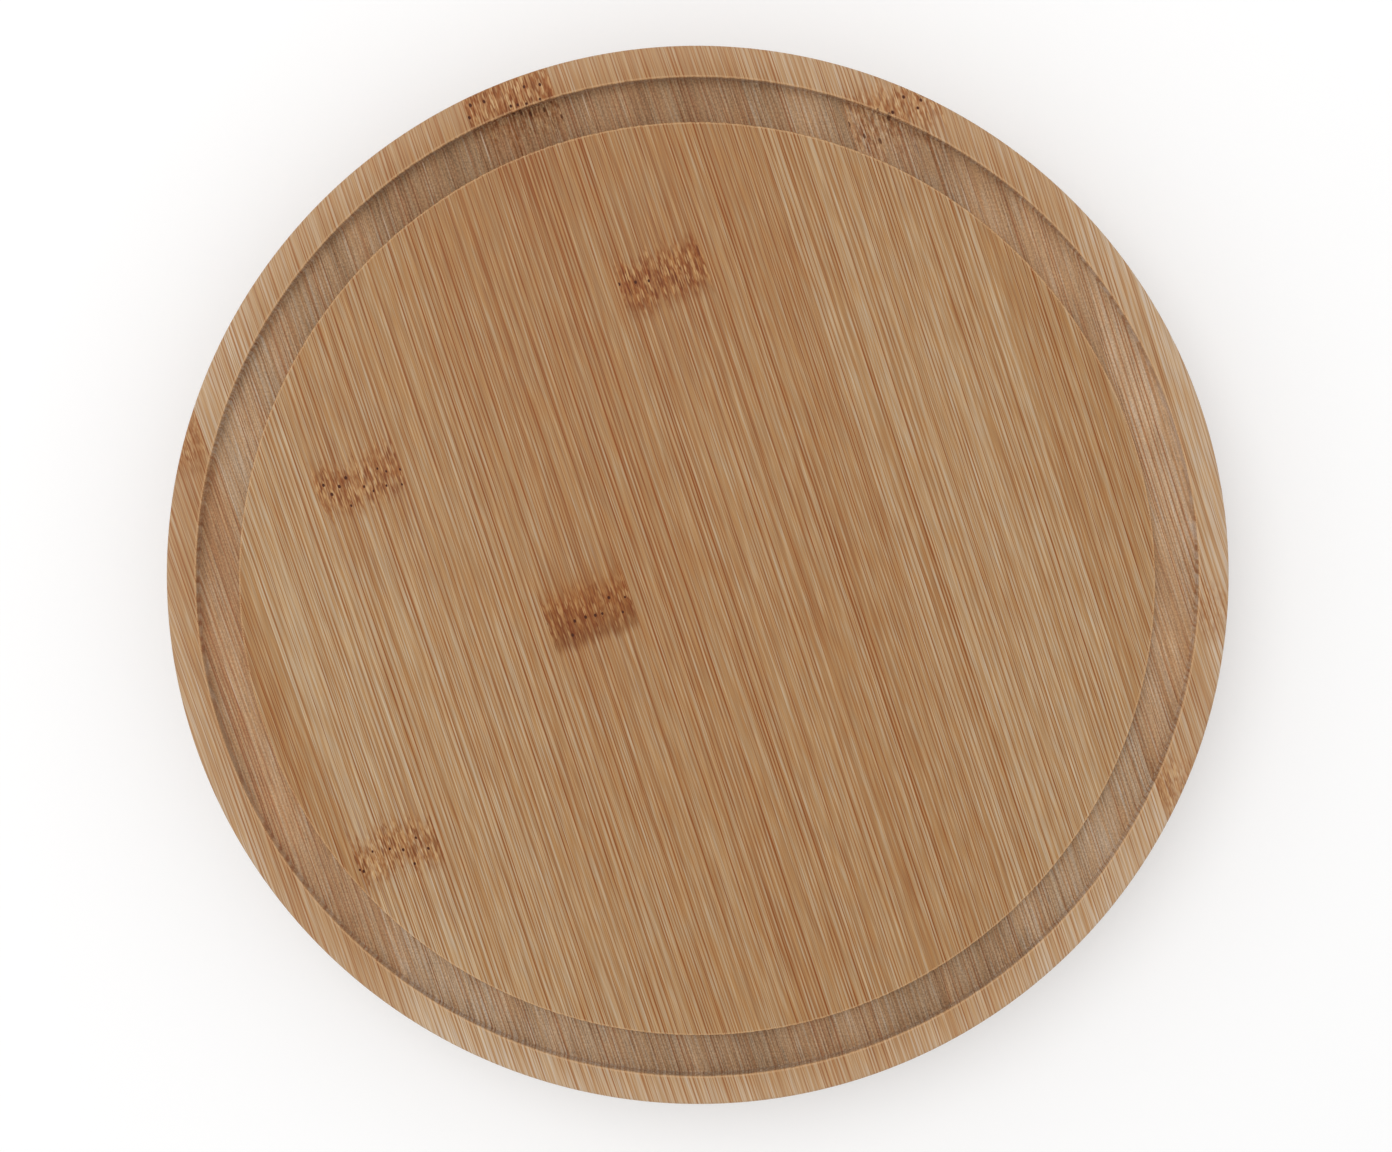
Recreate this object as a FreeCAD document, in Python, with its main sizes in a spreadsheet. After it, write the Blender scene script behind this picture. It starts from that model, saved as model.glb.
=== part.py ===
"""Lazy susan turntable: a round bamboo board on a ball-bearing ring and a round bamboo foot plate.

Frame: millimetres, +Z up. The origin is the centre of the ground circle, under the middle of the board.
From the ground up: four rubber feet, the foot plate, the ring bearing and the board with its channel.
"""
import FreeCAD, Part
import math
import os

import Sketcher
from FreeCAD import Placement, Rotation, Vector

DIMENSIONS = {
    # Board: a flat disc with a flat-bottomed channel just inside its rim.
    "board_radius": 125.0,
    "board_thickness": 14.0,
    "board_edge_round": 1.0,
    "channel_inner_radius": 107.7,
    "channel_outer_radius": 117.8,
    "channel_depth": 3.0,
    "channel_corner_round": 0.6,
    "channel_edge_ease": 0.3,
    # Foot plate under the bearing, with one hole to drive the board's screws through.
    "plate_radius": 85.0,
    "plate_thickness": 10.0,
    "plate_edge_round": 1.5,
    "access_hole_radius": 6.0,
    # Rubber feet, each sunk a little into the plate and held by a washer and a pan-head screw.
    "foot_count": 4.0,
    "foot_circle_radius": 73.0,
    "foot_top_radius": 8.0,
    "foot_ground_radius": 7.2,
    "foot_height": 4.0,
    "foot_sink": 1.0,
    "foot_seat_gap": 0.2,
    "foot_edge_round": 0.5,
    "foot_well_radius": 4.8,
    "foot_well_depth": 2.6,
    "foot_hole_radius": 1.7,
    "washer_radius": 4.4,
    "washer_hole_radius": 1.65,
    "washer_thickness": 0.6,
    # Ring bearing: the outer ring stands on the plate and the inner ring hangs from the board.
    "bearing_height": 8.0,
    "ring_height": 7.2,
    "outer_ring_radius": 60.0,
    "outer_ring_bore_radius": 49.3,
    "inner_ring_radius": 47.7,
    "inner_ring_bore_radius": 36.0,
    "ring_edge_bevel": 0.4,
    "outer_screw_circle_radius": 55.0,
    "inner_screw_circle_radius": 41.5,
    "ball_count": 24.0,
    "ball_radius": 1.98,
    "ball_circle_radius": 48.5,
    "race_radius": 2.12,
    "cage_inner_radius": 48.1,
    "cage_outer_radius": 48.9,
    "cage_height": 5.6,
    "cage_pocket_radius": 2.1,
    "filler_hole_radius": 2.05,
    "filler_plug_radius": 2.0,
    "filler_plug_start": 50.7,
    "filler_plug_length": 9.0,
    "filler_slot_width": 0.8,
    "filler_slot_depth": 1.0,
    # Wood screws: countersunk in the rings, pan-headed in the feet.
    "ring_screw_count": 4.0,
    "ring_hole_radius": 1.7,
    "ring_sink_radius": 3.2,
    "thread_radius": 1.5,
    "thread_root_radius": 1.1,
    "thread_pitch": 1.2,
    "pilot_radius": 1.52,
    "pilot_spare_depth": 0.3,
    "sunk_head_radius": 2.9,
    "sunk_head_land": 0.2,
    "ring_screw_length": 16.0,
    "ring_screw_plain": 8.0,
    "pan_head_radius": 2.8,
    "pan_head_height": 1.2,
    "pan_head_round": 0.7,
    "foot_screw_length": 9.0,
    "foot_screw_plain": 1.0,
    "drive_slots": 2.0,
    "drive_arm": 2.6,
    "drive_width": 0.7,
    "drive_depth": 1.0,
}

THREAD_TURNS = 5
THREAD_ROOT_SHARE = 0.4
FIRST_DIAGONAL_DEG = 45.0
QUARTER_TURN_DEG = 90.0
HALF_TURN_DEG = 180.0
FULL_TURN_DEG = 360.0
COUNTERSINK_DEG = 90.0
MATCH_MM = 1e-4

doc = FreeCAD.newDocument("lazy_susan")
dims = doc.addObject("Spreadsheet::Sheet", "dims")
parts = []


def fill_sheet():
    """Write each driving dimension into its own aliased cell."""
    for row, (alias, value) in enumerate(DIMENSIONS.items(), start=1):
        dims.set(f"A{row}", alias)
        dims.set(f"B{row}", str(value))
        dims.setAlias(f"B{row}", alias)
    doc.recompute()


def number(expression):
    """The present value of an expression over the sheet."""
    return float(dims.evalExpression(expression))


# Heights of the stack, as expressions over the sheet.
PLATE_BOTTOM = "(dims.foot_height - dims.foot_sink)"
PLATE_TOP = f"({PLATE_BOTTOM} + dims.plate_thickness)"
INNER_RING_BOTTOM = f"({PLATE_TOP} + dims.bearing_height - dims.ring_height)"
BOARD_BOTTOM = f"({PLATE_TOP} + dims.bearing_height)"
BALL_HEIGHT = f"({PLATE_TOP} + dims.bearing_height / 2)"


# ---------------------------------------------------------------- bodies, sketches and features

def new_body(label, height):
    """An empty body whose base stands at the given height."""
    body = doc.addObject("PartDesign::Body", label)
    body.Label = label
    body.Placement = Placement(Vector(0, 0, number(height)), Rotation())
    parts.append(body)
    return body


def origin_feature(body, role):
    """One of the body's own origin planes or axes."""
    return next(item for item in body.Origin.OriginFeatures if item.Role == role)


def new_sketch(body, name, plane, height=None):
    """A sketch on one of the body's origin planes, lifted along the plane's normal if asked."""
    sketch = body.newObject("Sketcher::SketchObject", name)
    sketch.AttachmentSupport = [(origin_feature(body, plane), "")]
    sketch.MapMode = "FlatFace"
    if height:
        sketch.setExpression("AttachmentOffset.Base.z", height)
    return sketch


def fix_point(sketch, geometry, position, axis_name, expression):
    """Hold one coordinate of a point at an expression, or on the axis where it is zero."""
    here = number(expression)
    if abs(here) < MATCH_MM:
        axis = -2 if axis_name == "DistanceX" else -1
        sketch.addConstraint(Sketcher.Constraint("PointOnObject", geometry, position, axis))
        return
    constraint = Sketcher.Constraint(axis_name, -1, 1, geometry, position, here)
    index = sketch.addConstraint(constraint)
    sketch.setExpression(f"Constraints[{index}]", expression)


def add_circle(sketch, radius, across="0", up="0"):
    """A circle with its radius and centre bound to the sheet."""
    centre = Vector(number(across), number(up), 0)
    circle = sketch.addGeometry(Part.Circle(centre, Vector(0, 0, 1), number(radius)), False)
    fix_point(sketch, circle, 3, "DistanceX", across)
    fix_point(sketch, circle, 3, "DistanceY", up)
    index = sketch.addConstraint(Sketcher.Constraint("Radius", circle, number(radius)))
    sketch.setExpression(f"Constraints[{index}]", radius)


def add_outline(sketch, corners):
    """A closed outline of straight lines; each corner is a pair of expressions."""
    places = [Vector(number(across), number(up), 0) for across, up in corners]
    lines = []
    for start, end in zip(places, places[1:] + places[:1]):
        lines.append(sketch.addGeometry(Part.LineSegment(start, end), False))
    for line, following in zip(lines, lines[1:] + lines[:1]):
        sketch.addConstraint(Sketcher.Constraint("Coincident", line, 2, following, 1))
    for line, (across, up) in zip(lines, corners):
        fix_point(sketch, line, 1, "DistanceX", across)
        fix_point(sketch, line, 1, "DistanceY", up)


def add_rectangle(sketch, left, right, bottom, top):
    """An upright rectangle between four expressions."""
    add_outline(sketch, [(left, bottom), (right, bottom), (right, top), (left, top)])


def add_middle_slot(sketch, length, width):
    """A rectangle centred on the sketch's origin."""
    half_length = number(length) / 2
    half_width = number(width) / 2
    signs = ((-1, -1), (1, -1), (1, 1), (-1, 1))
    corners = [Vector(x * half_length, y * half_width, 0) for x, y in signs]
    lines = []
    for start, end in zip(corners, corners[1:] + corners[:1]):
        lines.append(sketch.addGeometry(Part.LineSegment(start, end), False))
    for line, following in zip(lines, lines[1:] + lines[:1]):
        sketch.addConstraint(Sketcher.Constraint("Coincident", line, 2, following, 1))
    for line, direction in zip(lines, ("Horizontal", "Vertical", "Horizontal", "Vertical")):
        sketch.addConstraint(Sketcher.Constraint(direction, line))
    sketch.addConstraint(Sketcher.Constraint("Symmetric", lines[0], 1, lines[2], 1, -1, 1))
    for line, kind, expression in ((lines[0], "DistanceX", length), (lines[1], "DistanceY", width)):
        index = sketch.addConstraint(Sketcher.Constraint(kind, line, 1, line, 2, number(expression)))
        sketch.setExpression(f"Constraints[{index}]", expression)


def pad(body, sketch, length):
    """Raise a sketch upwards."""
    feature = body.newObject("PartDesign::Pad", "Pad")
    feature.Profile = sketch
    feature.setExpression("Length", length)
    return feature


def revolve(body, sketch, kind="PartDesign::Revolution"):
    """Turn a sketch on the XZ plane once round the Z axis, to add material or to cut a groove."""
    feature = body.newObject(kind, kind.split("::")[1])
    feature.Profile = sketch
    feature.ReferenceAxis = (sketch, ["V_Axis"])
    feature.Angle = FULL_TURN_DEG
    return feature


def pocket(body, sketch, depth, along_normal):
    """Cut a sketch to a depth, along its plane's normal or against it."""
    feature = body.newObject("PartDesign::Pocket", "Pocket")
    feature.Profile = sketch
    feature.Reversed = along_normal
    feature.setExpression("Length", depth)
    return feature


def polar_pattern(body, features, count, angle=FULL_TURN_DEG):
    """Repeat features about the body's Z axis."""
    doc.recompute()
    pattern = body.newObject("PartDesign::PolarPattern", "Pattern")
    pattern.Originals = features
    pattern.Axis = (origin_feature(body, "Z_Axis"), [""])
    pattern.Angle = angle
    pattern.setExpression("Occurrences", count)
    body.Tip = pattern
    return pattern


def circle_edges(feature, places):
    """The names of the feature's round edges about Z at the given (radius, height) expressions."""
    doc.recompute()
    wanted = [(number(radius), number(height)) for radius, height in places]
    names = []
    for index, edge in enumerate(feature.Shape.Edges, start=1):
        if not isinstance(edge.Curve, Part.Circle):
            continue
        centre = edge.Curve.Center
        if math.hypot(centre.x, centre.y) > MATCH_MM:
            continue
        for radius, height in wanted:
            if abs(edge.Curve.Radius - radius) < MATCH_MM and abs(centre.z - height) < MATCH_MM:
                names.append(f"Edge{index}")
    return names


def dress(body, kind, feature, places, size_property, size):
    """Round or bevel the round edges at the given places."""
    dressed = body.newObject(kind, kind.split("::")[1])
    dressed.Base = (feature, circle_edges(feature, places))
    dressed.setExpression(size_property, size)
    return dressed


def round_edges(body, feature, places, radius):
    """Round the round edges at the given places."""
    return dress(body, "PartDesign::Fillet", feature, places, "Radius", radius)


def bevel_edges(body, feature, places, size):
    """Bevel the round edges at the given places by the same size on both faces."""
    return dress(body, "PartDesign::Chamfer", feature, places, "Size", size)


def countersunk_holes(body, name, circle_radius, first_deg, height, along_normal):
    """A ring of countersunk screw holes, drilled from the sketch's plane."""
    sketch = new_sketch(body, name, "XY_Plane", height)
    across = f"{circle_radius} * cos({first_deg} deg)"
    up = f"{circle_radius} * sin({first_deg} deg)"
    add_circle(sketch, "dims.ring_hole_radius", across, up)
    doc.recompute()
    hole = body.newObject("PartDesign::Hole", "ScrewHole")
    hole.Profile = sketch
    hole.Threaded = False
    hole.DepthType = "ThroughAll"
    hole.setExpression("Diameter", "dims.ring_hole_radius * 2")
    hole.HoleCutType = "Countersink"
    hole.HoleCutCustomValues = True
    hole.setExpression("HoleCutDiameter", "dims.ring_sink_radius * 2")
    hole.HoleCutCountersinkAngle = COUNTERSINK_DEG
    hole.Reversed = along_normal
    return polar_pattern(body, [hole], "dims.ring_screw_count")


def pilot_hole(body, name, circle_radius, first_deg, height, depth, along_normal):
    """One blind screw hole in a wooden part."""
    sketch = new_sketch(body, name, "XY_Plane", height)
    across = f"{circle_radius} * cos({first_deg} deg)"
    up = f"{circle_radius} * sin({first_deg} deg)"
    add_circle(sketch, "dims.pilot_radius", across, up)
    return pocket(body, sketch, depth, along_normal)


# ---------------------------------------------------------------- wooden discs

def make_board():
    """The serving board, with the channel in its top and blind screw holes in its underside."""
    body = new_body("turntable_top", BOARD_BOTTOM)
    outline = new_sketch(body, "BoardOutline", "XY_Plane")
    add_circle(outline, "dims.board_radius")
    disc = pad(body, outline, "dims.board_thickness")
    rims = [("dims.board_radius", "0"), ("dims.board_radius", "dims.board_thickness")]
    round_edges(body, disc, rims, "dims.board_edge_round")

    channel_sketch = new_sketch(body, "ChannelOutline", "XY_Plane", "dims.board_thickness")
    add_circle(channel_sketch, "dims.channel_inner_radius")
    add_circle(channel_sketch, "dims.channel_outer_radius")
    channel = pocket(body, channel_sketch, "dims.channel_depth", False)

    floor = "dims.board_thickness - dims.channel_depth"
    corners = [("dims.channel_inner_radius", floor), ("dims.channel_outer_radius", floor)]
    coved = round_edges(body, channel, corners, "dims.channel_corner_round")
    lips = [
        ("dims.channel_inner_radius", "dims.board_thickness"),
        ("dims.channel_outer_radius", "dims.board_thickness"),
    ]
    bevel_edges(body, coved, lips, "dims.channel_edge_ease")

    reach = "dims.ring_screw_length - dims.ring_height + dims.pilot_spare_depth"
    pilot = pilot_hole(body, "BoardPilot", "dims.inner_screw_circle_radius", 0, None, reach, True)
    polar_pattern(body, [pilot], "dims.ring_screw_count")


def make_plate():
    """The foot plate: seats and screw holes for four feet, screw holes for the bearing, access hole."""
    body = new_body("base_plate", PLATE_BOTTOM)
    outline = new_sketch(body, "PlateOutline", "XY_Plane")
    add_circle(outline, "dims.plate_radius")
    disc = pad(body, outline, "dims.plate_thickness")
    rims = [("dims.plate_radius", "0"), ("dims.plate_radius", "dims.plate_thickness")]
    round_edges(body, disc, rims, "dims.plate_edge_round")

    seat_sketch = new_sketch(body, "FootSeat", "XY_Plane")
    across = f"dims.foot_circle_radius * cos({FIRST_DIAGONAL_DEG} deg)"
    up = f"dims.foot_circle_radius * sin({FIRST_DIAGONAL_DEG} deg)"
    add_circle(seat_sketch, "dims.foot_top_radius + dims.foot_seat_gap", across, up)
    seat = pocket(body, seat_sketch, "dims.foot_sink", True)
    foot_reach = (
        "dims.foot_well_depth - dims.washer_thickness + dims.foot_screw_length"
        f" - {PLATE_BOTTOM} + dims.pilot_spare_depth"
    )
    foot_pilot = pilot_hole(
        body, "FootPilot", "dims.foot_circle_radius", FIRST_DIAGONAL_DEG, None, foot_reach, True
    )
    polar_pattern(body, [seat, foot_pilot], "dims.foot_count")

    ring_reach = "dims.ring_screw_length - dims.ring_height + dims.pilot_spare_depth"
    ring_pilot = pilot_hole(
        body, "RingPilot", "dims.outer_screw_circle_radius", FIRST_DIAGONAL_DEG,
        "dims.plate_thickness", ring_reach, False,
    )
    polar_pattern(body, [ring_pilot], "dims.ring_screw_count")

    access_sketch = new_sketch(body, "AccessHole", "XY_Plane", "dims.plate_thickness")
    add_circle(access_sketch, "dims.access_hole_radius", "dims.inner_screw_circle_radius")
    pocket(body, access_sketch, "dims.plate_thickness", False)


# ---------------------------------------------------------------- ring bearing

def make_ring(label, bottom, bore_radius, outside_radius, race_height):
    """A plain ring with bevelled edges and the half-round race that the balls run in."""
    body = new_body(label, bottom)
    section = new_sketch(body, "RingSection", "XZ_Plane")
    add_rectangle(section, bore_radius, outside_radius, "0", "dims.ring_height")
    ring = revolve(body, section)
    edges = []
    for radius in (bore_radius, outside_radius):
        edges += [(radius, "0"), (radius, "dims.ring_height")]
    bevel_edges(body, ring, edges, "dims.ring_edge_bevel")
    race = new_sketch(body, "RaceSection", "XZ_Plane")
    add_circle(race, "dims.race_radius", "dims.ball_circle_radius", race_height)
    revolve(body, race, "PartDesign::Groove")
    return body


def make_outer_ring():
    """The ring on the foot plate; its screws go down, and the balls go in through a side hole."""
    race_height = "dims.bearing_height / 2"
    body = make_ring(
        "bearing_outer_ring", PLATE_TOP, "dims.outer_ring_bore_radius", "dims.outer_ring_radius",
        race_height,
    )
    countersunk_holes(
        body, "OuterScrewHoles", "dims.outer_screw_circle_radius", FIRST_DIAGONAL_DEG,
        "dims.ring_height", False,
    )
    filler = new_sketch(body, "FillerHole", "YZ_Plane")
    add_circle(filler, "dims.filler_hole_radius", "0", race_height)
    pocket(body, filler, "dims.outer_ring_radius + dims.ring_height", True)


def make_inner_ring():
    """The ring under the board; its screws go up."""
    race_height = "dims.ring_height - dims.bearing_height / 2"
    body = make_ring(
        "bearing_inner_ring", INNER_RING_BOTTOM, "dims.inner_ring_bore_radius", "dims.inner_ring_radius",
        race_height,
    )
    countersunk_holes(body, "InnerScrewHoles", "dims.inner_screw_circle_radius", 0, None, True)


def make_cage():
    """The thin band that keeps the balls apart, with one round pocket for each ball."""
    body = new_body("ball_cage", f"{BALL_HEIGHT} - dims.cage_height / 2")
    section = new_sketch(body, "CageSection", "XZ_Plane")
    add_rectangle(section, "dims.cage_inner_radius", "dims.cage_outer_radius", "0", "dims.cage_height")
    revolve(body, section)
    window = new_sketch(body, "BallPocket", "YZ_Plane")
    add_circle(window, "dims.cage_pocket_radius", "0", "dims.cage_height / 2")
    ball_pocket = pocket(body, window, "dims.outer_ring_radius", True)
    polar_pattern(body, [ball_pocket], "dims.ball_count")


def make_balls():
    """The steel balls, one solid each, in one group."""
    count = int(number("dims.ball_count"))
    balls = []
    for index in range(count):
        ball = doc.addObject("Part::Sphere", f"ball_{index + 1}")
        ball.setExpression("Radius", "dims.ball_radius")
        turn = FULL_TURN_DEG * index / count
        spoke = Rotation(Vector(0, 0, 1), turn).multVec(Vector(number("dims.ball_circle_radius"), 0, 0))
        ball.Placement = Placement(spoke + Vector(0, 0, number(BALL_HEIGHT)), Rotation())
        balls.append(ball)
    group = doc.addObject("Part::Compound", "bearing_balls")
    group.Label = "bearing_balls"
    group.Links = balls
    parts.append(group)


def make_filler_plug():
    """The slotted plug that closes the hole through which the balls were loaded."""
    pin = doc.addObject("Part::Cylinder", "filler_pin")
    pin.setExpression("Radius", "dims.filler_plug_radius")
    pin.setExpression("Height", "dims.filler_plug_length")
    slot = doc.addObject("Part::Box", "filler_slot")
    slot.setExpression("Length", "dims.filler_slot_width")
    slot.setExpression("Width", "dims.filler_plug_radius * 2")
    slot.setExpression("Height", "dims.filler_slot_depth")
    corner = Vector(
        number("-dims.filler_slot_width / 2"),
        number("-dims.filler_plug_radius"),
        number("dims.filler_plug_length - dims.filler_slot_depth"),
    )
    slot.Placement = Placement(corner, Rotation())
    plug = doc.addObject("Part::Cut", "ball_filler_plug")
    plug.Label = "ball_filler_plug"
    plug.Base = pin
    plug.Tool = slot
    start = Vector(number("dims.filler_plug_start"), 0, number(BALL_HEIGHT))
    plug.Placement = Placement(start, Rotation(Vector(0, 0, 1), Vector(1, 0, 0)))
    parts.append(plug)


# ---------------------------------------------------------------- feet and fasteners

def spoke_points(circle_radius, count, first_deg):
    """Points evenly round a circle about the Z axis."""
    spoke = Vector(number(circle_radius), 0, 0)
    total = int(number(count))
    turns = [first_deg + FULL_TURN_DEG * index / total for index in range(total)]
    return [Rotation(Vector(0, 0, 1), turn).multVec(spoke) for turn in turns]


def make_foot(label, place):
    """A rubber foot: a low cone with a well underneath for the washer and the screw head."""
    body = new_body(label, "0")
    section = new_sketch(body, "FootSection", "XZ_Plane")
    add_outline(section, [
        ("dims.foot_well_radius", "0"),
        ("dims.foot_ground_radius", "0"),
        ("dims.foot_top_radius", PLATE_BOTTOM),
        ("dims.foot_top_radius", "dims.foot_height"),
        ("dims.foot_hole_radius", "dims.foot_height"),
        ("dims.foot_hole_radius", "dims.foot_well_depth"),
        ("dims.foot_well_radius", "dims.foot_well_depth"),
    ])
    foot = revolve(body, section)
    round_edges(body, foot, [("dims.foot_ground_radius", "0")], "dims.foot_edge_round")
    body.Placement = Placement(place, Rotation())


def make_washer(label, place):
    """A flat steel washer at the top of a foot's well."""
    disc = doc.addObject("Part::Cylinder", f"{label}_disc")
    disc.setExpression("Radius", "dims.washer_radius")
    disc.setExpression("Height", "dims.washer_thickness")
    hole = doc.addObject("Part::Cylinder", f"{label}_hole")
    hole.setExpression("Radius", "dims.washer_hole_radius")
    hole.setExpression("Height", "dims.washer_thickness")
    washer = doc.addObject("Part::Cut", label)
    washer.Label = label
    washer.Base = disc
    washer.Tool = hole
    height = number("dims.foot_well_depth - dims.washer_thickness")
    washer.Placement = Placement(place + Vector(0, 0, height), Rotation())
    parts.append(washer)


def threaded_shank(plain_end, length):
    """The corners of a screw's shank from the end of its plain part to its point."""
    corners = [("dims.thread_radius", plain_end)]
    for turn in range(THREAD_TURNS):
        root = f"{plain_end} + {turn + THREAD_ROOT_SHARE} * dims.thread_pitch"
        crest = f"{plain_end} + {turn + 1} * dims.thread_pitch"
        corners.append(("dims.thread_root_radius", root))
        corners.append(("dims.thread_radius", crest))
    corners.append(("0", length))
    return corners


def cut_cross_drive(body):
    """A cross-shaped driver recess in the face of a screw's head."""
    slot = new_sketch(body, "DriveSlot", "XY_Plane")
    add_middle_slot(slot, "dims.drive_arm", "dims.drive_width")
    recess = pocket(body, slot, "dims.drive_depth", True)
    polar_pattern(body, [recess], "dims.drive_slots", QUARTER_TURN_DEG)


def make_ring_screw(label, place, turned_over):
    """A countersunk wood screw, made with its head's face at the bottom and its point up."""
    body = new_body(label, "0")
    section = new_sketch(body, "ScrewSection", "XZ_Plane")
    head = [
        ("0", "0"),
        ("dims.sunk_head_radius", "0"),
        ("dims.sunk_head_radius", "dims.sunk_head_land"),
        ("dims.thread_radius", "dims.sunk_head_land + dims.sunk_head_radius - dims.thread_radius"),
    ]
    add_outline(section, head + threaded_shank("dims.ring_screw_plain", "dims.ring_screw_length"))
    revolve(body, section)
    cut_cross_drive(body)
    flip = Rotation(Vector(1, 0, 0), HALF_TURN_DEG) if turned_over else Rotation()
    body.Placement = Placement(place, flip)


def make_foot_screw(label, place):
    """A pan-head wood screw, head down and point up."""
    body = new_body(label, "0")
    section = new_sketch(body, "ScrewSection", "XZ_Plane")
    head = [
        ("0", "0"),
        ("dims.pan_head_radius", "0"),
        ("dims.pan_head_radius", "dims.pan_head_height"),
        ("dims.thread_radius", "dims.pan_head_height"),
    ]
    plain_end = "dims.pan_head_height + dims.foot_screw_plain"
    tip = "dims.pan_head_height + dims.foot_screw_length"
    add_outline(section, head + threaded_shank(plain_end, tip))
    screw = revolve(body, section)
    round_edges(body, screw, [("dims.pan_head_radius", "0")], "dims.pan_head_round")
    cut_cross_drive(body)
    head_bottom = number("dims.foot_well_depth - dims.washer_thickness - dims.pan_head_height")
    body.Placement = Placement(place + Vector(0, 0, head_bottom), Rotation())


def make_feet():
    """Four feet with their washers and screws."""
    places = spoke_points("dims.foot_circle_radius", "dims.foot_count", FIRST_DIAGONAL_DEG)
    for index, place in enumerate(places, start=1):
        make_foot(f"foot_{index}", place)
        make_washer(f"foot_washer_{index}", place)
        make_foot_screw(f"foot_screw_{index}", place)


def make_ring_screws():
    """Four screws down through the outer ring and four up through the inner ring."""
    ring_top = Vector(0, 0, number(f"{PLATE_TOP} + dims.ring_height"))
    outer = spoke_points("dims.outer_screw_circle_radius", "dims.ring_screw_count", FIRST_DIAGONAL_DEG)
    for index, place in enumerate(outer, start=1):
        make_ring_screw(f"outer_ring_screw_{index}", place + ring_top, True)
    ring_bottom = Vector(0, 0, number(INNER_RING_BOTTOM))
    inner = spoke_points("dims.inner_screw_circle_radius", "dims.ring_screw_count", 0)
    for index, place in enumerate(inner, start=1):
        make_ring_screw(f"inner_ring_screw_{index}", place + ring_bottom, False)


# ---------------------------------------------------------------- tests and export

def check_document():
    """Stop if any object failed to compute, or if a cut removed nothing."""
    for item in doc.Objects:
        if "Invalid" in item.State or "Error" in item.State:
            raise RuntimeError(f"{item.Label} failed: {item.State}")
        if item.isDerivedFrom("PartDesign::Pocket") or item.isDerivedFrom("PartDesign::Groove"):
            if item.Shape.Volume > item.BaseFeature.Shape.Volume - MATCH_MM:
                raise RuntimeError(f"{item.Label} cuts nothing")
    for part in parts:
        if part.Shape.isNull() or not part.Shape.isValid():
            raise RuntimeError(f"{part.Label} has no valid shape")


def export_parts():
    """Write one STEP file for each separate piece."""
    os.makedirs("parts", exist_ok=True)
    for part in parts:
        part.Shape.exportStep(f"parts/{part.Label}.step")
        box = part.Shape.BoundBox
        count = len(part.Shape.Solids)
        size = f"{part.Shape.Volume:.1f} mm3, z {box.ZMin:.2f} to {box.ZMax:.2f}"
        print(f"{part.Label}: {count} solid(s), {size}")


fill_sheet()
make_board()
make_plate()
make_outer_ring()
make_inner_ring()
make_cage()
make_balls()
make_filler_plug()
make_feet()
make_ring_screws()
doc.recompute()
check_document()
export_parts()
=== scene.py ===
"""Looks of the lazy susan turntable: bamboo board and foot plate, ring bearing, feet and fasteners.

The scene is in metres, +Z up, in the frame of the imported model. Sizes named below are in millimetres
unless they say otherwise.
"""
import math

import bmesh
import bpy
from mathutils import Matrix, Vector, noise


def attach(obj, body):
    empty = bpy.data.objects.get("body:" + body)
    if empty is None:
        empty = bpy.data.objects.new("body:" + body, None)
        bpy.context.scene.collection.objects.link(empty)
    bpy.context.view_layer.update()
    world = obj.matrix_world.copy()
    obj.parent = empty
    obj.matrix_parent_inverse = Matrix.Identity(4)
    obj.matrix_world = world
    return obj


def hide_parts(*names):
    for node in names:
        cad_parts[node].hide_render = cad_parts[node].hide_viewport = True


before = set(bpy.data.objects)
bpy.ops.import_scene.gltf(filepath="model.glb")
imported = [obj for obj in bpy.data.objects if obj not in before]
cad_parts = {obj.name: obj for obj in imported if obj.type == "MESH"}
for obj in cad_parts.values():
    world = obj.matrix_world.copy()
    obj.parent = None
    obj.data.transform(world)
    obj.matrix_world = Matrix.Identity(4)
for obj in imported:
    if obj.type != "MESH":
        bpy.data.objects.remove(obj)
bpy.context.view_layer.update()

MM = 0.001

# Bamboo grain: the strips run along GRAIN, and ACROSS counts them from one side of the board to the other.
GRAIN_DEG = -71.5
GRAIN = Vector((math.cos(math.radians(GRAIN_DEG)), math.sin(math.radians(GRAIN_DEG)), 0.0))
ACROSS = Vector((-GRAIN.y, GRAIN.x, 0.0))
STRIP_WIDTH = 20.7
FIRST_SEAM = -118.5

# Outlines of the board and the foot plate, the board's channel and its pilot holes.
BOARD_RADIUS = 125.0
BOARD_BOTTOM = 21.0
BOARD_TOP = 35.0
BOARD_ROUND = 1.0
PLATE_BOTTOM = 3.0
PLATE_TOP = 13.0
CHANNEL_INNER = 107.7
CHANNEL_OUTER = 117.8
CHANNEL_DEPTH = 3.0
CHANNEL_COVE = 0.6
LIP_EASE = 0.3
PILOT_CIRCLE = 41.5
PILOT_RADIUS = 1.52
PILOT_DEPTH = 9.1

# Mesh resolution: facets round each turned shape, and the angle from which an edge counts as sharp.
BOARD_FACETS = 1200
PILOT_FACETS = 32
FLOOR_FACETS = 96
SHARP_EDGE_DEG = 35

# The channel's lips are ragged where they cross the fibres: how far, and how many bumps per millimetre.
FRAY_REACH = 0.22
FRAY_BUMPS = 1.4

# The plies of a bamboo sheet: how far the pattern of those below the top one is moved along and across the
# grain, and the distances from a glue joint at which its line fades out and is full.
PLY_SHIFT_ALONG = 43.0
PLY_SHIFT_ACROSS = 6.3
GLUE_LINE_EDGE = 0.16
GLUE_LINE_FULL = 0.06

# The fibres' slow waves, and how much a strip's fibres may lean off the straight, as a slope.
WAVE_REACH = 0.8
WAVE_WIDTH = 30.0
WAVE_LENGTH = 90.0
STRIP_LEAN = 0.008

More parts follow.
